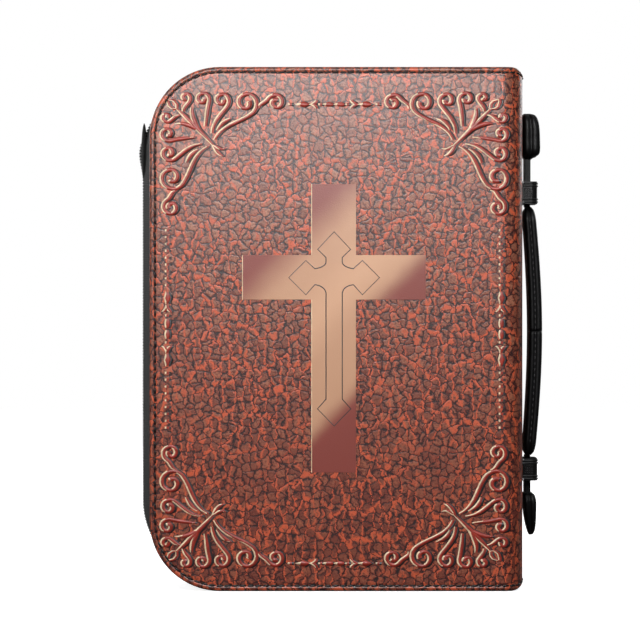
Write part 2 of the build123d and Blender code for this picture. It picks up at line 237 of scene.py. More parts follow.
def crackle_leather(name):
    material, tree, shader, _ = start_material(name, 0.36, Specular_IOR_Level=0.7)
    sheet = add_node(tree, "ShaderNodeUVMap", uv_map="sheet").outputs[0]
    sway = noise(tree, sheet, 230.0, 4.0, 0.62).outputs["Color"]
    sway = add_node(tree, "ShaderNodeVectorMath", {0: sway, 1: (0.5, 0.5, 0.5)},
                    operation="SUBTRACT")
    sway = add_node(tree, "ShaderNodeVectorMath", {0: sway.outputs[0], 3: 0.0062},
                    operation="SCALE")
    coords = moved(tree, sheet, sway.outputs[0])
    patches = noise(tree, sheet, 26.0, 2.0).outputs[0]
    large = cracks(tree, coords, CELLS_PER_METRE)
    ridge = cracks(tree, moved(tree, coords, (0.0005, -0.0004, 0)), CELLS_PER_METRE)
    small = cracks(tree, moved(tree, coords, (0.4, 0.7, 0)), 480.0)
    streaks = add_node(tree, "ShaderNodeMapping", {"Vector": coords, "Scale": (230.0, 75.0, 1.0)})
    streak = cracks(tree, streaks.outputs[0], 1.0)
    cell = add_node(tree, "ShaderNodeTexVoronoi", {"Vector": coords, "Scale": CELLS_PER_METRE},
                    voronoi_dimensions="2D")
    tone = add_node(tree, "ShaderNodeSeparateColor", {0: cell.outputs["Color"]}).outputs[0]
    mottle = noise(tree, sheet, 900.0, 3.0, 0.6).outputs[0]
    up_the_sheet = add_node(tree, "ShaderNodeSeparateXYZ", {0: sheet}).outputs["Y"]
    # Painted shade: the pebbles turn darker and redder towards the bottom of the sheet, where less
    # of the top lamp's light falls.
    low = ramp(tree, up_the_sheet, 0.8, 0, 0.03, 0.17)
    pebble = mix_colour(tree, tone, linear(132, 78, 58), linear(166, 108, 82))
    pebble_in_painted_shade = mix_colour(tree, tone, linear(112, 50, 36), linear(152, 82, 56))
    pebble = mix_colour(tree, low, pebble, pebble_in_painted_shade)
    pebble = mix_colour(tree, ramp(tree, mottle, 0, 0.8, 0.4, 0.68), pebble, linear(100, 42, 32))
    rim = ramp(tree, large, 0.95, 0, 0.05, 0.2)
    colour = mix_colour(tree, rim, pebble, linear(84, 20, 15))
    inner = maths(tree, "MULTIPLY", ramp(tree, small, 0.8, 0, 0.03, 0.12),
                  ramp(tree, patches, 0, 1, 0.40, 0.58))
    colour = mix_colour(tree, inner, colour, linear(88, 24, 19))
    glow = maths(tree, "MULTIPLY", ramp(tree, ridge, 0.8, 0, 0.03, 0.1),
                 ramp(tree, mottle, 0, 1, 0.48, 0.68))
    colour = mix_colour(tree, glow, colour, linear(178, 70, 42))
    vein = maths(tree, "MULTIPLY", ramp(tree, streak, 1, 0, 0.03, 0.12),
                 ramp(tree, patches, 0.2, 1, 0.3, 0.5))
    colour = mix_colour(tree, vein, colour, linear(198, 86, 52))
    width = ramp(tree, mottle, 0.02, 0.08, 0.25, 0.65)
    dark = maths(tree, "MULTIPLY", maths(tree, "LESS_THAN", large, width), 0.94)
    colour = mix_colour(tree, dark, colour, linear(18, 16, 18))
    fine_dark = maths(tree, "MULTIPLY", ramp(tree, small, 1, 0, 0.015, 0.05),
                      ramp(tree, mottle, 0, 0.85, 0.46, 0.6))
    colour = mix_colour(tree, fine_dark, colour, linear(34, 18, 20))
    tree.links.new(colour, shader.inputs["Base Color"])
    relief = maths(tree, "MULTIPLY", ramp(tree, large, 0, 1, 0.0, 0.25), 1.4)
    add_bump(tree, shader, maths(tree, "ADD", relief, grain_heights(tree, sheet)), GRAIN_DEPTH,
             0.55)
    return material


skin_leather = crackle_leather("crackle_leather")
print("made", skin_leather.name)

# %% [markdown]
# The skin itself is one bmesh. A rectangle gets its round fore corners with a vertex bevel.
# Its edge is then pulled up from the back of the panel and inset in small steps, which
# gives the turned edge, the padded rim and the groove that the stitches sit in.

# %% Cut and shape the skin
STITCH_INSET = 2.6 * MM
LEATHER_THICKNESS = 0.9 * MM
EDGE_SHIFT = 0.8  # how far the edge's depth moves the pattern on
RIM_STEPS = [  # (further in, further out) in millimetres, from the edge to the flat
    (0.2, 0.65), (0.45, 0.42), (0.65, 0.24), (0.6, -0.06), (0.35, -0.22), (0.35, -0.18),
    (0.35, 0.12), (0.5, 0.15), (0.6, 0.0),
]


def flat_outline(bm, inset, right):
    """A rectangle in the flat sheet with round fore corners, as one face."""
    fore, low, high = fore_x + inset, inset, height - inset
    corners = [(right, low), (fore, low), (fore, high), (right, high)]
    verts = [bm.verts.new((x, 0, z)) for x, z in corners]
    bm.faces.new(verts)
    bmesh.ops.bevel(bm, geom=verts[1:3], offset=fore_corner_r - inset, segments=20, profile=0.5,
                    affect="VERTICES", material=-1, offset_type="OFFSET")


def cut_for_fold(bm, first, last):
    """Adds edges across the sheet where it bends."""
    steps = [fold_x + fold_arc * i / 12 for i in range(13)] + [fold_x - 3 * MM, last - 9 * MM]
    for x in steps:
        if first < x < last:
            geom = bm.verts[:] + bm.edges[:] + bm.faces[:]
            bmesh.ops.bisect_plane(bm, geom=geom, plane_co=(x, 0, 0), plane_no=(1, 0, 0))


def skin_mesh(side):
    bm = bmesh.new()
    spare = 20 * MM
    flat_outline(bm, 0, sheet_end + spare)
    bmesh.ops.recalc_face_normals(bm, faces=bm.faces[:])
    if bm.faces[:][0].normal.y > 0:
        bmesh.ops.reverse_faces(bm, faces=bm.faces[:])
    wall = panel_depth - face_y
    bmesh.ops.translate(bm, verts=bm.verts[:], vec=(0, wall, 0))
    face = max(bm.faces, key=lambda f: f.calc_area())
    up = sum(step[1] for step in RIM_STEPS) * MM
    lifted = bmesh.ops.extrude_face_region(bm, geom=[face])
    moved_verts = [g for g in lifted["geom"] if isinstance(g, bmesh.types.BMVert)]
    bmesh.ops.translate(bm, verts=moved_verts, vec=(0, -(wall - up), 0))
    top = [g for g in lifted["geom"] if isinstance(g, bmesh.types.BMFace)][0]
    for inward, outward in RIM_STEPS:
        bmesh.ops.inset_region(bm, faces=[top], thickness=inward * MM, depth=outward * MM,
                               use_boundary=True, use_even_offset=True)
    back_faces = [f for f in bm.faces if f.normal.y > 0.9]
    bmesh.ops.delete(bm, geom=back_faces, context="FACES_ONLY")
    geom = bm.verts[:] + bm.edges[:] + bm.faces[:]
    bmesh.ops.bisect_plane(bm, geom=geom, plane_co=(sheet_end, 0, 0), plane_no=(1, 0, 0),
                           clear_outer=True)
    cut_for_fold(bm, fore_x, sheet_end)
    mesh = bpy.data.meshes.new(f"{side}_skin")
    bm.to_mesh(mesh)
    bm.free()
    layer = mesh.uv_layers.new(name="sheet")
    for loop in mesh.loops:
        place = mesh.vertices[loop.vertex_index].co
        shift = 0.5 if side == "back" else 0
        across = place.x - EDGE_SHIFT * place.y + shift
        layer.data[loop.index].uv = (across, place.z + EDGE_SHIFT * place.y)
    wrap_mesh(mesh, side == "back")
    return mesh


for side in ("front", "back"):
    skin = make_object(f"{side}_printed_skin", skin_mesh(side), skin_leather)
    thickness = skin.modifiers.new("leather thickness", "SOLIDIFY")
    thickness.thickness, thickness.offset = LEATHER_THICKNESS, -1
    bend_with_cover(skin)
    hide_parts(f"{side}_cover_skin")
    print(skin.name, len(skin.data.polygons), "faces")
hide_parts("spine_skin")

# %% [markdown]
# The print on the cover is drawn from strokes. A stroke is a curve with a round section
# whose radius changes along it. Turned into a mesh and flattened, it is a raised band
# like those that a heated plate presses into leather.

# %% Helpers for raised strokes
print_x = fore_x + 86.45 * MM


def at_panel(u, v):
    """A point of the print, in millimetres from its centre, as x and z in metres."""
    return print_x + u * MM, mid_z + v * MM


def bezier(first, first_dir, last, last_dir, count=14):
    """Points of a smooth curve that leaves first along first_dir and arrives along last_dir."""
    p0, p3 = Vector(first), Vector(last)
    p1, p2 = p0 + Vector(first_dir), p3 - Vector(last_dir)
    points = []
    for i in range(count + 1):
        t = i / count
        leaving = p0 * (1 - t)**3 + p1 * 3 * t * (1 - t)**2
        points.append(leaving + p2 * 3 * t**2 * (1 - t) + p3 * t**3)
    return points


def curve_mesh(name, strokes, width, sides):
    """Round bars along curves, as one mesh. Each is (3-D points, radius factors, is a loop)."""
    data = bpy.data.curves.new(name, "CURVE")
    data.dimensions, data.bevel_depth = "3D", width / 2 * MM
    data.bevel_resolution, data.use_fill_caps = sides, True
    for points, factors, loop in strokes:
        spline = data.splines.new("POLY")
        spline.points.add(len(points) - 1)
        spline.use_cyclic_u = loop
        for place, point, factor in zip(spline.points, points, factors):
            place.co, place.radius = (*point, 1), factor
    curve = bpy.data.objects.new(name, data)
    bpy.context.scene.collection.objects.link(curve)
    bpy.context.view_layer.update()
    graph = bpy.context.evaluated_depsgraph_get()
    mesh = bpy.data.meshes.new_from_object(curve.evaluated_get(graph))
    bpy.data.objects.remove(curve)
    mesh.materials.clear()
    mesh.name = name
    return mesh


def strokes_mesh(name, strokes, width, rise, shift=(0, 0), sides=2, above=0.0):
    """Strokes of the print, flattened on the panel. Their points are in the print's plane."""
    placed = []
    for points, factors, loop in strokes:
        flat = [at_panel(point[0] + shift[0], point[1] + shift[1]) for point in points]
        placed.append(([(x, 0, z) for x, z in flat], factors, loop))
    mesh = curve_mesh(name, placed, width, sides)
    for vertex in mesh.vertices:
        vertex.co.y = face_y - above * MM + vertex.co.y * rise * 2 / width
    return mesh


def even(points, factor=1.0, loop=False):
    """A stroke with the same radius all along."""
    return points, [factor] * len(points), loop


# %% [markdown]
# The print and the fittings need a few kinds of finish: plain coated leather or plastic,
# scuffed metal, woven cloth, and the cross's copper foil, which is lighter towards its
# middle along a slope. Each kind is one function, so that the pieces differ in numbers only.

# %% Materials of the print
def plain(name, colour, roughness=0.45, grain=0.3, mottle=0.0, gloss=0.5):
    material, tree, shader, coords = start_material(name, roughness, Specular_IOR_Level=gloss)
    shader.inputs["Base Color"].default_value = colour
    if mottle:
        patches = noise(tree, coords, 420.0, 3.0, 0.6).outputs[0]
        darker = tuple(c * (1 - mottle) for c in colour[:3]) + (1,)
        blended = mix_colour(tree, ramp(tree, patches, 0, 1, 0.35, 0.65), colour, darker)
        tree.links.new(blended, shader.inputs["Base Color"])
    if grain:
        add_bump(tree, shader, grain_heights(tree, coords), GRAIN_DEPTH, grain)
    return material


def metal(name, colour, roughness):
    material, tree, shader, coords = start_material(name, roughness, Metallic=1.0)
    scuffs = noise(tree, coords, 700.0, 3.0).outputs[0]
    shader.inputs["Base Color"].default_value = colour
    tree.links.new(ramp(tree, scuffs, roughness * 0.8, roughness * 1.3), shader.inputs["Roughness"])
    return material


def woven(name, colour, threads_per_mm=1.6, roughness=0.8, depth=0.5):
    material, tree, shader, coords = start_material(name, roughness)
    weave = []
    for direction in ("X", "Z"):
        inputs = {"Vector": coords, "Scale": threads_per_mm * 1000 / 6.28}
        wave = add_node(tree, "ShaderNodeTexWave", inputs, bands_direction=direction)
        weave.append(wave.outputs["Fac"])
    heights = maths(tree, "MULTIPLY", weave[0], weave[1])
    # Painted shade: the cloth is darker where the weave is low, between the threads.
    dark = tuple(c * 0.55 for c in colour[:3]) + (1,)
    tree.links.new(mix_colour(tree, heights, dark, colour), shader.inputs["Base Color"])
    add_bump(tree, shader, heights, 0.00012, depth)
    return material


def copper_foil():
    material, tree, shader, coords = start_material("copper_foil", 0.36, Specular_IOR_Level=0.8)
    place = add_node(tree, "ShaderNodeSeparateXYZ", {0: coords})
    across = maths(tree, "SUBTRACT", place.outputs["X"], place.outputs["Z"])
    across = maths(tree, "ADD", across, mid_z - print_x)
    wobble = maths(tree, "MULTIPLY", noise(tree, coords, 60.0, 2.0).outputs[0], 0.006)
    across = maths(tree, "ADD", across, wobble)
    above_shaft = maths(tree, "GREATER_THAN", place.outputs["Z"], mid_z + 13.6 * MM)
    right_end = maths(tree, "MULTIPLY", ramp(tree, across, 0, 1, -0.002, 0.022), above_shaft)
    foot = ramp(tree, across, 0, 1, 0.032, 0.052)
    light = maths(tree, "MULTIPLY", ramp(tree, across, 0, 1, -0.066, -0.036),
                  ramp(tree, right_end, 1, 0))
    light = maths(tree, "MULTIPLY", light, ramp(tree, foot, 1, 0))
    colour = mix_colour(tree, light, linear(130, 55, 45), linear(193, 146, 114))
    glow = ramp(tree, maths(tree, "ABSOLUTE", maths(tree, "ADD", across, 0.012)), 0.7, 0, 0, 0.024)
    colour = mix_colour(tree, glow, colour, linear(212, 164, 130))
    tree.links.new(colour, shader.inputs["Base Color"])
    add_bump(tree, shader, grain_heights(tree, coords), GRAIN_DEPTH, 0.45)
    return material


foil = copper_foil()
cream = plain("cream_highlight", linear(240, 214, 178), 0.4, 0.2, 0.3)
red_band = plain("red_band", linear(160, 46, 30), 0.38, 0.3, 0.3, 0.7)
tape_fabric = woven("zip_tape_fabric", linear(11, 11, 12), 2.2)
deep_shadow = plain("deep_shadow", linear(20, 22, 26), 0.42, 0.3, 0, 0.9)

# %% [markdown]
# The cross is a smooth sheet of foil pressed on the leather. It is cut as one outline,
# raised a tenth of a millimetre and its edge is rounded. A fine dark line draws a second
# cross with pointed ends inside it, and its left edges catch the light.

# %% Cross on the front cover
ARM_TOP, ARM_LOW, BAR_LEFT, BAR_RIGHT = 67.7, -67.0, -43.0, 42.6
POST_LEFT, POST_RIGHT, BAR_HIGH, BAR_LOW = -10.7, 10.0, 34.5, 13.7
cross_corners = [
    (POST_LEFT, ARM_LOW), (POST_LEFT, BAR_LOW), (BAR_LEFT, BAR_LOW), (BAR_LEFT, BAR_HIGH),
    (POST_LEFT, BAR_HIGH), (POST_LEFT, ARM_TOP), (POST_RIGHT, ARM_TOP), (POST_RIGHT, BAR_HIGH),
    (BAR_RIGHT, BAR_HIGH), (BAR_RIGHT, BAR_LOW), (POST_RIGHT, BAR_LOW), (POST_RIGHT, ARM_LOW),
]
bm = bmesh.new()
verts = []
for u, v in cross_corners:
    x, z = at_panel(u, v)
    verts.append(bm.verts.new((x, face_y + 0.1 * MM, z)))
face = bm.faces.new(verts)
if face.normal.y > 0:
    bmesh.ops.reverse_faces(bm, faces=[face])
raised = bmesh.ops.extrude_face_region(bm, geom=[face])
raised_verts = [g for g in raised["geom"] if isinstance(g, bmesh.types.BMVert)]
bmesh.ops.translate(bm, verts=raised_verts, vec=(0, -0.22 * MM, 0))
bmesh.ops.recalc_face_normals(bm, faces=bm.faces[:])
rim = [e for e in bm.edges if all(v.co.y < face_y for v in e.verts)]
bmesh.ops.bevel(bm, geom=rim, offset=0.1 * MM, segments=2, profile=0.5, affect="EDGES", material=-1)
cross = from_bmesh("copper_cross", bm, foil, smooth=False)
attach(cross, "front_cover")


def inner_cross():
    """Half of the outlined cross, then its mirror half."""
    shoulder_right = bezier((9.0, 28.2), (-2.6, 0.3), (3.8, 31.6), (0.2, 2.0), 8)
    shoulder_low = bezier((3.8, 16.6), (0.3, 2.6), (9.0, 20.7), (2.6, 0.3), 8)
    half = [Vector((0, 45.4)), Vector((7.7, 37.2)), Vector((3.8, 33.4))]
    half += shoulder_right[::-1] + [Vector((13.2, 32.0)), Vector((21.2, 24.0)),
                                    Vector((13.2, 16.0))]
    half += shoulder_low[::-1] + [Vector((3.8, -32.8)), Vector((7.8, -37.3)), Vector((0, -45.3))]
    other = [Vector((-p.x, p.y)) for p in half[-2:0:-1]]
    return [Vector((p.x - 0.2, p.y)) for p in half + other]


line = strokes_mesh("cross_outline", [even(inner_cross(), 1, True)], 0.5, 0.08, above=0.12)
outline = make_object("cross_outline", line, deep_shadow)
lit_edges = [
    even([Vector((POST_LEFT, ARM_LOW)), Vector((POST_LEFT, BAR_LOW))]),
    even([Vector((BAR_LEFT, BAR_LOW)), Vector((BAR_LEFT, BAR_HIGH))]),
    even([Vector((POST_LEFT, BAR_HIGH)), Vector((POST_LEFT, ARM_TOP))]),
]
lit = strokes_mesh("cross_lit_edges", lit_edges, 0.4, 0.1, above=0.08)
lit = make_object("cross_lit_edges", lit, cream)
for piece in (outline, lit):
    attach(piece, "front_cover")
print("cross with", len(outline.data.polygons), "faces in its outline")

# %% [markdown]
# Each corner has a fan of scrolls around a hub, the same on both sides of the corner's
# diagonal. It is drawn once, for the corner at the top left, from stems that end in
# spirals. The other three corners are its mirror images.

# %% Draw the scrollwork of one corner
def scroll(start, start_dir, centre, radius, enter, turns, way=1, pull=0.8):
    """A stem from start that winds into a spiral. way is 1 for anticlockwise."""
    centre = Vector(centre)
    angle = math.radians(enter)
    entry = centre + radius * Vector((math.cos(angle), math.sin(angle)))
    tangent = way * Vector((-math.sin(angle), math.cos(angle)))
    reach = (entry - Vector(start)).length
    points = bezier(start, Vector(start_dir) * reach * 0.4, entry, tangent * reach * 0.45 * pull)
    factors = [0.45 + 0.5 * min(i / 6, 1) for i in range(len(points))]
    steps = max(int(turns * 16), 8)
    for i in range(1, steps + 1):
        t = i / steps
        now = angle + way * t * turns * 2 * math.pi
        reach = radius * (1 - 0.74 * t**0.95)
        points.append(centre + reach * Vector((math.cos(now), math.sin(now))))
        factors.append(0.95 + 0.35 * max(t - 0.6, 0) / 0.4)
    return points, factors, False


def leaf(points, fat=1.0):
    """A stroke that swells in its middle and ends in points."""
    count = len(points) - 1
    return points, [0.3 + fat * math.sin(math.pi * min(i / count,
                                                       1)) for i in range(count + 1)], False


def fan_half(large):
    """The strokes on one side of the diagonal. The side column's scrolls are a little larger."""
    big = 6.0 if large else 5.6
    strokes = [
        scroll((0.8, 2.4), (0.45, 0.9), (15.2, 19.6), big, -50, 1.2),
        scroll((21.2, 17.0), (0.15, 1.0), (29.2, 19.8), 4.0, 150, 1.25, way=-1),
        scroll((-0.4, 5.4), (0.05, 1.0), (3.8, 20.8), 3.8, -35, 1.12),
        scroll((-3.6, 8.6), (0.12, 1.0), (-5.2, 21.4), 3.5, -15, 1.05),
        scroll((-13.9, 15.6), (0.1, 1.0), (-13.0, 22.0), 2.4, -20, 0.85),
        leaf(bezier((-5.6, 5.6), (-2.6, 2.8), (-9.8, 17.4), (0.9, 3.4)), 0.9),
        leaf(bezier((2.0, 6.8), (1.6, 3.2), (8.4, 12.4), (3.0, 1.0)), 0.7),
    ]
    return strokes


def corner_fan():
    strokes = fan_half(False)
    for points, factors, loop in fan_half(True):
        strokes.append(([Vector((-p.y, -p.x)) for p in points], factors, loop))
    bud = [Vector((-16.8, 16.8)) + Vector((-1, 1)) * (3.4 * t) + Vector((1, 1)) * w for t, w in (
        (0, 0), (0.3, 1.0), (0.7, 1.2), (1.1, 0.5), (1.25, 0), (1.1, -0.5), (0.7, -1.2), (0.3,
                                                                                          -1.0))]
    strokes.append((bud, [0.6] * len(bud), True))
    strokes.append(leaf(bezier((0, 0), (-6, 6), (-16.8, 16.8), (-4, 4)), 0.9))
    strokes.append(leaf(bezier((0, 0), (1.0, -2.5), (4.6, -5.2), (2.2, -0.6), 8), 0.6))
    strokes.append(leaf(bezier((0, 0), (2.2, -1.2), (5.6, -1.6), (2.0, 1.2), 8), 0.5))
    return strokes


def all_corners():
    strokes = []
    for across in (1, -1):
        for up in (1, -1):
            hub = Vector((-56.5 * across, 86.5 * up - 0.5))
            for points, factors, loop in corner_fan():
                placed = [hub + Vector((p.x * across, p.y * up)) for p in points]
                strokes.append((placed, factors, loop))
    return strokes


# %% [markdown]
# Between the fans, each edge has beads and a centre motif: diamonds, arrows, and ovals.
# They are drawn along a line and turned for the sides. Thick short strokes make the solid
# shapes.

# %% Draw the borders
def oval(centre, half_long, fat):
    """A small solid oval, long along the border."""
    points = [Vector((centre + half_long * t, 0)) for t in (-1, -0.8, -0.4, 0, 0.4, 0.8, 1)]
    return points, [fat * math.sqrt(max(1 - t * t, 0.04)) for t in (-1, -0.8, -0.4, 0, 0.4, 0.8,
                                                                    1)], False


def bead(along, size=1.0):
    return [Vector((along - 0.5, 0)), Vector((along + 0.5, 0))], [size, size], False


def motif():
    """The motif in the middle of an edge, 35 mm long."""
    strokes = [oval(2.6, 2.1, 1.2), oval(-2.6, 2.1, 1.2), bead(6.3, 0.8), bead(-6.3, 0.8)]
    for way in (1, -1):
        diamond = [Vector((way * (17.5 - a), 0)) for a in (0, 1.0, 3.0, 5.0, 6.0)]
        strokes.append((diamond, [0.15, 0.75, 1.7, 0.75, 0.15], False))
        for bend in (1, -1):
            arrow = bezier((way * 11.2, 0), (-way * 1.5, 0), (way * 8.0, bend * 2.0),
                           (-way * 0.4, bend * 1.2), 6)
            strokes.append(leaf(arrow, 0.5))
    return strokes


def borders():
    strokes = []
    for edge in (78.0, -78.0):
        pieces = motif() + [bead(way * (20.5 + 3.2 * i), 0.85) for i in range(9) for way in (1, -1)]
        for points, factors, loop in pieces:
            strokes.append(([Vector((edge + p.y, p.x)) for p in points], factors, loop))
    for edge in (104.9, -109.5):
        pieces = motif() + [bead(way * 20.5, 0.85) for way in (1, -1)]
        for points, factors, loop in pieces:
            strokes.append(([Vector((p.x, edge + p.y)) for p in points], factors, loop))
    return strokes


# %% [markdown]
# The pressed plate leaves three tones. A dark shadow lies to the right of each band and a
# cream highlight along its left, as if light came from the left. Three copies of the
# strokes give this look. The cream copy is lower than the band, so it only shows where
# it comes out past the band's left edge, and is hidden where a band runs level.

# %% Press the scrollwork into both covers
ornament = all_corners() + borders()
LAYERS = [  # name, width, rise, shift, height above the panel, material
    ("scroll_shadow", 2.1, 0.04, (1.0, -0.1), 0.0, deep_shadow),
    ("scroll_band", 2.1, 0.14, (0, 0), 0.0, red_band),
    ("scroll_light", 1.15, 0.07, (-0.86, 0.05), 0.04, cream),
]
for side in ("front", "back"):
    for name, width, rise, shift, above, material in LAYERS:
        mesh = strokes_mesh(f"{side}_{name}", ornament, width, rise, shift, 1, above)
        if side == "back":
            mesh.transform(Matrix.Diagonal((1, -1, 1, 1)))
            mesh.flip_normals()
        piece = make_object(f"{side}_{name}", mesh, material)
        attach(piece, f"{side}_cover")
    print(side, "ornament", len(mesh.polygons), "faces in a layer")

# %% [markdown]
# The edge is sewn all round with black thread, 3.6 mm to a stitch. A path along head, fore
# edge and tail places every stitch, and later every loop of the zip's coil.

# %% A path along three edges
def edge_path(fore, inset, radius, right):
    """The path's length, and a function from distance to (x, z, heading)."""
    straight, side = right - fore - radius, height - 2 * (inset + radius)
    arc = radius * math.pi / 2
    centre_x = fore + radius

    def at(distance):
        if distance < straight:
            return right - distance, height - inset, math.pi
        distance -= straight
        if distance < arc:
            turn = distance / radius
            return (centre_x - radius * math.sin(turn),
                    height - inset - radius + radius * math.cos(turn), math.pi + turn)
        distance -= arc
        if distance < side:
            return fore, height - inset - radius - distance, math.pi * 1.5
        distance -= side
        if distance < arc:
            turn = distance / radius
            return (centre_x - radius * math.cos(turn),
                    inset + radius - radius * math.sin(turn), math.pi * 1.5 + turn)
        return centre_x + distance - arc, inset, math.pi * 2

    return 2 * straight + 2 * arc + side, at


def grains_mesh(name, places, around=8, along=6):
    """One mesh with a rounded grain at each place, such as a stitch or a loop of coil."""
    bm = bmesh.new()
    bmesh.ops.create_uvsphere(bm, u_segments=around, v_segments=along, radius=1)
    points = [vert.co.copy() for vert in bm.verts]
    faces = [[vert.index for vert in face.verts] for face in bm.faces]
    bm.free()
    verts, polygons = [], []
    for place in places:
        first = len(verts)
        verts += [place @ point for point in points]
        polygons += [[first + i for i in face] for face in faces]
    mesh = bpy.data.meshes.new(name)
    mesh.from_pydata(verts, [], polygons)
    return mesh


def turned(x, y, z, heading):
    """A place whose own x points along the heading, in the plane of the panel."""
    return Matrix.Translation((x, y, z)) @ Matrix.Rotation(-heading, 4, "Y")


# %% [markdown]
# Each stitch is a small grain that sits in the groove of the rim. The stitches are placed
# on the flat sheet and wrapped round the fold with it, a little turned, as a lock stitch is.

# %% Sew the edge
thread = plain("black_thread", linear(10, 9, 10), 0.4, 0)
STITCH_PITCH = 3.6 * MM
for side in ("front", "back"):
    length, at = edge_path(fore_x + STITCH_INSET, STITCH_INSET, fore_corner_r - STITCH_INSET,
                           sheet_end - 1 * MM)
    count = round(length / STITCH_PITCH)
    size = Matrix.Diagonal((1.7 * MM, 0.42 * MM, 0.5 * MM, 1))
    places = []
    for i in range(count):
        x, z, heading = at((i + 0.5) * length / count)
        places.append(turned(x, -0.1 * MM, z, heading + 0.06) @ size)
    mesh = grains_mesh(f"{side}_edge_stitches", places)
    wrap_mesh(mesh, side == "back")
    piece = make_object(mesh.name, mesh, thread)
    bend_with_cover(piece)
    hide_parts(f"{side}_cover_stitching")
    print(side, count, "stitches")

# %% [markdown]
# The zip is a nylon coil. Each loop is a rounded grain that reaches a little past the
# middle, between two loops of the other side, so the two rows mesh like real teeth. The
# filled case pushes its zip out a little below the top corner, so the row swells there.

# %% Coil of the zip
nylon = plain("coil_nylon", linear(14, 14, 15), 0.32, 0)
row_low, row_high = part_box("front_zip_row")
ROW_EDGE = 1.1 * MM  # from the row's edge to the middle of its loops
row_out = row_low.x + ROW_EDGE
corner_x = fore_x + fore_corner_r
COIL_PITCH = 1.4 * MM
SWELL_Z, SWELL_HALF, SWELL_RISE = 206.5 * MM, 14 * MM, 1.7 * MM
TAPE_X, TAPE_Y, TAPE_SLOPE = -93.25 * MM, 2.9 * MM, 0.29  # a point and the slant of the tape


def swell(x, z):
    """How far the zip stands out at this height, on the fore edge only."""
    if x > fore_x or abs(z - SWELL_Z) > SWELL_HALF:
        return 0
    return SWELL_RISE * math.cos((z - SWELL_Z) / SWELL_HALF * math.pi / 2)**2


for side, sign in (("front", -1), ("back", 1)):
    inset = row_low.z + ROW_EDGE
    length, at = edge_path(row_out, inset, corner_x - row_out, row_high.x)
    count = int(length / COIL_PITCH)
    size = Matrix.Diagonal((0.36 * MM, 1.62 * MM, 1.05 * MM, 1))
    places = []
    for i in range(count):
        x, z, heading = at((i + (0.25 if sign > 0 else 0.75)) * COIL_PITCH)
        slant = Matrix.Rotation(0.16 * sign, 4, "Z")
        places.append(turned(x - swell(x, z), sign * 1.32 * MM, z, heading) @ slant @ size)
    coil = make_object(f"{side}_coil", grains_mesh(f"{side}_coil", places), nylon)
    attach(coil, f"{side}_cover")
    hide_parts(f"{side}_zip_row")
    bm = bmesh.new()
    place = Matrix.Translation((row_out - 0.1 * MM, 0, SWELL_Z))
    size = Matrix.Diagonal((1.5 * MM, 6.5 * MM, SWELL_HALF, 1))
    bmesh.ops.create_uvsphere(bm, u_segments=32, v_segments=24, radius=1, matrix=place @ size)
    middle_cut = (0, sign * 0.5 * MM, 0), (0, -sign, 0)
    tape_cut = (TAPE_X, sign * TAPE_Y, 0), (1, -TAPE_SLOPE * sign, 0)
    for point, outward in (middle_cut, tape_cut):
        geom = bm.verts[:] + bm.edges[:] + bm.faces[:]
        cut = bmesh.ops.bisect_plane(bm, geom=geom, plane_co=point, plane_no=outward,
                                     clear_outer=True)
        edges = [g for g in cut["geom_cut"] if isinstance(g, bmesh.types.BMEdge)]
        bmesh.ops.contextual_create(bm, geom=edges)
        bmesh.ops.recalc_face_normals(bm, faces=bm.faces[:])
    swelling = from_bmesh(f"{side}_zip_swelling", bm, tape_fabric)
    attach(swelling, f"{side}_cover")
print(count, "loops in each row")

# %% [markdown]
# The handle is a padded strap: two layers of soft leather over foam, sewn along both
# sides, with a raised rim on the outer layer. It is lofted from sections. Each section has
# the same outline, sized by how far the strap stands off the spine at that height.

# %% Helper for padded straps
STRAP_SECTION = [  # (share of the half width, share of the thickness), from the inside out
    (0.0, 0.0), (0.5, 0.0), (0.8, 0.02), (0.93, 0.08), (0.985, 0.2), (0.97, 0.36), (0.93, 0.46),
    (0.94, 0.53), (1.0, 0.6), (1.01, 0.72), (1.0, 0.86), (0.94, 0.96), (0.86, 1.0), (0.78, 0.98),
    (0.72, 0.93), (0.5, 0.92), (0.0, 0.92),
]


def strap_mesh(name, stations):
    """Lofts a closed strap. A station is (height, inner and outer stand-off, half width) in mm."""
    outline = STRAP_SECTION + [(-side, depth) for side, depth in STRAP_SECTION[-2:0:-1]]
    bm = bmesh.new()
    rings = []
    for z, inner, outer, half in stations:
        ring = []
        for side, depth in outline:
            x = spine_x + (inner + (outer - inner) * depth) * MM
            ring.append(bm.verts.new((x, -side * half * MM, z * MM)))
        rings.append(ring)
    for low, high in zip(rings, rings[1:]):
        for i in range(len(outline)):
            j = (i + 1) % len(outline)
            bm.faces.new((low[i], low[j], high[j], high[i]))
    bm.faces.new(rings[0])
    bm.faces.new(rings[-1])
    bmesh.ops.recalc_face_normals(bm, faces=bm.faces[:])
    mesh = bpy.data.meshes.new(name)
    bm.to_mesh(mesh)
    bm.free()
    return mesh


def smooth_stations(stations, steps=4):
    """Adds stations in between along a smooth curve."""
    result = []
    for i in range(len(stations) - 1):
        before, first = Vector(stations[max(i - 1, 0)]), Vector(stations[i])
        last, after = Vector(stations[i + 1]), Vector(stations[min(i + 2, len(stations) - 1)])
        for k in range(steps):
            t = k / steps
            in_slope, out_slope = (last - before) / 2, (after - first) / 2
            result.append(first * (2 * t**3 - 3 * t**2 + 1) + in_slope * (t**3 - 2 * t**2 + t)
                          + last * (3 * t**2 - 2 * t**3) + out_slope * (t**3 - t**2))
    return result + [Vector(stations[-1])]


# %% [markdown]
# The grip bows away from the spine. It is made in two halves that meet in its middle.
# A narrow tongue at its end goes into the keeper.

# %% Grip in two halves
leather = plain("handle_leather", linear(5, 5, 6), 0.4, 0.8, 0, 0.25)
seam_thread = plain("handle_thread", linear(70, 68, 70), 0.35, 0)
grip_low, grip_high = 62.75, 180.25
grip_mid = (grip_low + grip_high) / 2


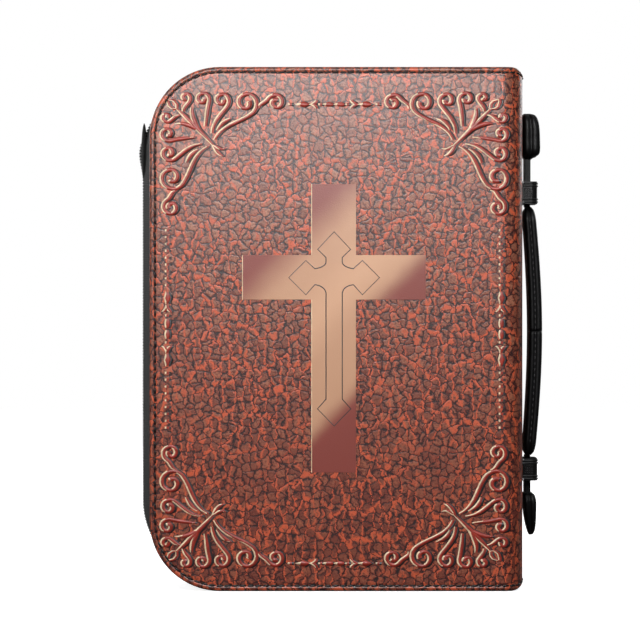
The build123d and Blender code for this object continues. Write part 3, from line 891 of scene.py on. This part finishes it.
def grip_station(z):
    t = (z - grip_low) / (grip_high - grip_low)
    bow = math.sin(math.pi * t)
    end = min(z - grip_low, grip_high - z) / 7
    round_off = math.sqrt(1 - (1 - min(end, 1))**2)
    inner, outer = 0.9 + 2.8 * bow, 6.4 + 3.4 * bow
    middle = (inner + outer) / 2
    thick = (outer - inner) / 2 * (0.45 + 0.55 * round_off)
    return middle - thick, middle + thick, 12.0 * (0.5 + 0.5 * round_off)


for half, first, last in (("upper", grip_mid, grip_high), ("lower", grip_low, grip_mid)):
    rows = [first + (last - first) * i / 40 for i in range(41)]
    stations = [(z, *grip_station(z)) for z in rows]
    if half == "upper":
        stations += [(grip_high + 0.1, 1.9, 4.5, 5.3), (grip_high + 2.6, 1.9, 4.5, 5.3)]
    else:
        stations = [(grip_low - 2.6, 1.9, 4.5, 5.3), (grip_low - 0.1, 1.9, 4.5, 5.3)] + stations
    piece = make_object(f"{half}_grip_half", strap_mesh(f"{half}_grip_half", stations), leather)
    places = []
    count = 19
    for i in range(count):
        z = grip_mid + (1 if half == "upper" else -1) * (i + 0.5) * 2.8
        inner, outer, wide = grip_station(z)
        for side in (1, -1):
            x = spine_x + (inner + (outer - inner) * 0.47) * MM
            place = Matrix.Translation((x, side * wide * 0.945 * MM, z * MM))
            places.append(place @ Matrix.Diagonal((0.22 * MM, 0.3 * MM, 0.75 * MM, 1)))
    stitches = make_object(f"{half}_grip_stitches",
                           grains_mesh(f"{half}_grip_stitches", places, 6, 5), seam_thread)
    for obj in (piece, stitches):
        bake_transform(obj)
    for polygon in piece.data.polygons:
        polygon.use_smooth = len(polygon.vertices) <= 4
    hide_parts("grip_cover", "grip_core")
    print(piece.name, len(piece.data.polygons), "faces")

# %% [markdown]
# Beyond the keepers each strap ends in a soft leaf, a wide one above and a pointed one
# below, that stops it from sliding out. The leaves curl a little away from the spine.

# %% Leaves at the ends of the strap
leaves = {
    "upper": [(202.6, 1.9, 4.7, 5.4), (203.8, 1.5, 6.2, 7.2), (204.8, 1.1, 8.2, 9.6),
              (207, 0.9, 8.9, 10.9),
              (212, 0.8, 8.9, 11), (218, 0.8, 8.6, 11), (221.5, 0.8, 7.9, 10.4), (223.6, 0.9, 6.6,
                                                                                  8.8),
              (224.4, 1.4, 4.6, 6)],
    "lower": [(24.8, 4.1, 5.4, 2.4), (25.6, 3.7, 6.1, 4.6), (27.5, 3.1, 6.7, 6.9),
              (31, 2.3, 7.0, 9.0),
              (36, 1.6, 7.1, 10.4), (41, 1.2, 7.1, 10.8), (44, 1.2, 6.4, 9.6), (44.8, 1.6, 5.4,
                                                                                7.6),
              (45.2, 2.0, 4.4, 5.2)],
}
for half, stations in leaves.items():
    leaf_piece = make_object(f"{half}_leaf", strap_mesh(f"{half}_leaf", smooth_stations(stations)),
                             leather)
    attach(leaf_piece, f"{half}_strap")
    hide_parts(f"{half}_paddle")


# %% [markdown]
# Each keeper is a moulded loop. Raised bands run over it at both ends, the middle is
# covered with small studs, and two metal feet show where it is riveted to the spine.

# %% Ribs, studs and feet of the keepers
RIB_WIDTH, STUD_PITCH = 0.9, 1.15  # in millimetres


def keeper_arch(low, high, z):
    """The outline of a keeper's section, from the spine over its top and back."""
    r, points = 2.8 * MM, []
    for side in (-1, 1):
        arc = []
        for i in range(9):
            angle = math.pi / 2 * i / 8
            arc.append((high.x - r + r * math.sin(angle), side * (high.y - r + r * math.cos(angle)),
                        z))
        arc.insert(0, (low.x + 0.4 * MM, side * high.y, z))
        points += arc if side == -1 else arc[::-1]
    return points


bright = metal("feet_metal", linear(205, 205, 208), 0.3)
keeper_material = plain("keeper_nylon", linear(9, 9, 10), 0.3, 0.2)
for half in ("upper", "lower"):
    low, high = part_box(f"{half}_keeper")
    middle = (low.z + high.z) / 2
    ribs = [keeper_arch(low, high, middle + offset * MM) for offset in (-4.3, -3.1, 3.1, 4.3)]
    mesh = curve_mesh(f"{half}_keeper_ribs", [even(rib) for rib in ribs], RIB_WIDTH, 2)
    rib_piece = make_object(mesh.name, mesh, keeper_material)
    places, feet = [], []
    for row in range(4):
        for column in range(4):
            z = middle + (row - 1.5) * STUD_PITCH * MM
            for side in (1, -1):
                place = Matrix.Translation((low.x + (1.6 + column * STUD_PITCH) * MM, side * high.y,
                                            z))
                places.append(place @ Matrix.Diagonal((0.42 * MM, 0.25 * MM, 0.42 * MM, 1)))
    for offset in (-4.6, 4.6):
        for side in (1, -1):
            place = Matrix.Translation((low.x + 0.7 * MM, side * (high.y + 0.1 * MM),
                                        middle + offset * MM))
            feet.append(place @ Matrix.Diagonal((0.6 * MM, 0.6 * MM, 0.6 * MM, 1)))
    studs = make_object(f"{half}_keeper_studs", grains_mesh(f"{half}_keeper_studs", places),
                        keeper_material)
    foot = make_object(f"{half}_keeper_feet", grains_mesh(f"{half}_keeper_feet", feet, 10, 8),
                       bright)
    for piece in (rib_piece, studs, foot):
        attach(piece, "spine")
print("keepers finished")

# %% [markdown]
# The parts that come straight from the CAD get their finish here: woven fabrics, boards,
# metal, paper whose leaves show at its edges, and the black leather of the handle.

# %% Finishes of the CAD parts
def paper():
    material, tree, shader, coords = start_material("page_paper", 0.85)
    leaves = add_node(tree, "ShaderNodeMapping", {"Vector": coords, "Scale": (0.6, 9000.0, 0.6)})
    lines = noise(tree, leaves.outputs[0], 1.0, 2.0).outputs[0]
    colour = mix_colour(tree, ramp(tree, lines, 0, 1, 0.4, 0.6), linear(238, 231, 212),
                        linear(206, 196, 172))
    tree.links.new(colour, shader.inputs["Base Color"])
    return material


finishes = {
    "spine_board": plain("board", linear(120, 112, 100), 0.9, 0.4, 0.2),
    "lining": woven("lining_fabric", linear(34, 32, 36)),
    "sleeve": woven("sleeve_fabric", linear(28, 27, 30), 1.2),
    "gusset": woven("gusset_fabric", linear(13, 13, 14), 1.4),
    "zip_tape": tape_fabric,
    "stops": metal("stop_metal", linear(150, 150, 155), 0.3),
    "rivets": metal("rivet_metal", linear(200, 200, 205), 0.28),
    "backing_plate": metal("plate_metal", linear(150, 150, 150), 0.4),
    "slider": metal("slider_metal", linear(60, 60, 64), 0.3),
    "bible_cover": plain("bible_leather", linear(48, 20, 18), 0.5, 0.8, 0.3),
    "bible_spine": plain("bible_spine_leather", linear(48, 20, 18), 0.5, 0.8, 0.3),
    "band": woven("band_cloth", linear(150, 30, 30), 2.0),
    "page": paper(),
    "cover_board": plain("cover_board", linear(120, 112, 100), 0.9, 0.4, 0.2),
    "keeper": keeper_material,
    "paddle": leather,
    "neck": leather,
    "grip": leather,
}
for name, node in nodes.items():
    for part, material in finishes.items():
        if part in name:
            for slot in node.material_slots:
                slot.material = material
            break
print(len(finishes), "finishes")

# %% [markdown]
# A long soft lamp above and in front lays a pale sheen on the upper half of the lacquered
# print and leaves the lower half deep red, as a window above a table would, and painted
# shade in the print darkens that lower half further. The floor and sky look white to the
# camera but stay dark in reflections, so the leather keeps its colour. The camera looks
# square at the front cover from some way off.

# %% Stage, light and camera
def area_light(name, place, target, size, power):
    data = bpy.data.lights.new(name, "AREA")
    data.shape, data.size, data.size_y = "RECTANGLE", size[0], size[1]
    data.energy = power
    lamp = bpy.data.objects.new(name, data)
    bpy.context.scene.collection.objects.link(lamp)
    lamp.location = place
    lamp.rotation_euler = (Vector(target) - Vector(place)).to_track_quat("-Z", "Y").to_euler()


world = bpy.data.worlds.new("studio")
bpy.context.scene.world = world
world.use_nodes = True
tree = world.node_tree
seen = add_node(tree, "ShaderNodeLightPath").outputs["Is Camera Ray"]
sky = add_node(tree, "ShaderNodeSeparateXYZ",
               {0: add_node(tree, "ShaderNodeTexCoord").outputs["Generated"]})
upward = ramp(tree, sky.outputs["Z"], 0.02, 0.6, 0.35, 1.0)
tree.links.new(maths(tree, "MAXIMUM", seen, upward), tree.nodes["Background"].inputs["Strength"])
tree.nodes["Background"].inputs["Color"].default_value = (1, 1, 1, 1)
area_light("top_softbox", (-0.05, -0.5, 0.35), (0, 0, 0.18), (0.44, 0.14), 2.9)
area_light("left_softbox", (-1.0, -0.9, 0.45), (0, 0, 0.12), (0.7, 0.7), 2.5)
area_light("right_softbox", (1.1, -0.8, 0.6), (0, 0, 0.12), (0.5, 0.5), 0.7)
for x in (-0.9, 0.9):
    area_light("rear_softbox", (x, 1.0, 0.6), (0, 0, 0.12), (0.7, 0.7), 7)

white, tree, shader, _ = start_material("pale_floor", 0.9)
shader.inputs["Emission Color"].default_value = (1, 1, 1, 1)
seen = add_node(tree, "ShaderNodeLightPath").outputs["Is Camera Ray"]
tree.links.new(ramp(tree, seen, 0.0, 0.75), shader.inputs["Emission Strength"])
tree.links.new(mix_colour(tree, seen, (0.08, 0.08, 0.08, 1), (0.9, 0.9, 0.9, 1)),
               shader.inputs["Base Color"])
bm = bmesh.new()
bmesh.ops.create_grid(bm, x_segments=1, y_segments=1, size=3.0,
                      matrix=Matrix.Translation((0, 0, -0.2 * MM)))
floor = from_bmesh("floor", bm, white)

camera_data = bpy.data.cameras.new("camera")
camera = bpy.data.objects.new("camera", camera_data)
bpy.context.scene.collection.objects.link(camera)
bpy.context.scene.camera = camera
DISTANCE = 1.5
FRAME_WIDTH = 298.9 * MM
camera_data.sensor_width = 36
camera_data.lens = camera_data.sensor_width * DISTANCE / FRAME_WIDTH
camera.location = (print_x - 6.8 * MM, face_y - DISTANCE, mid_z + 4.2 * MM)
camera.rotation_euler = (math.pi / 2, 0, 0)
bpy.context.scene.view_settings.view_transform = "Standard"
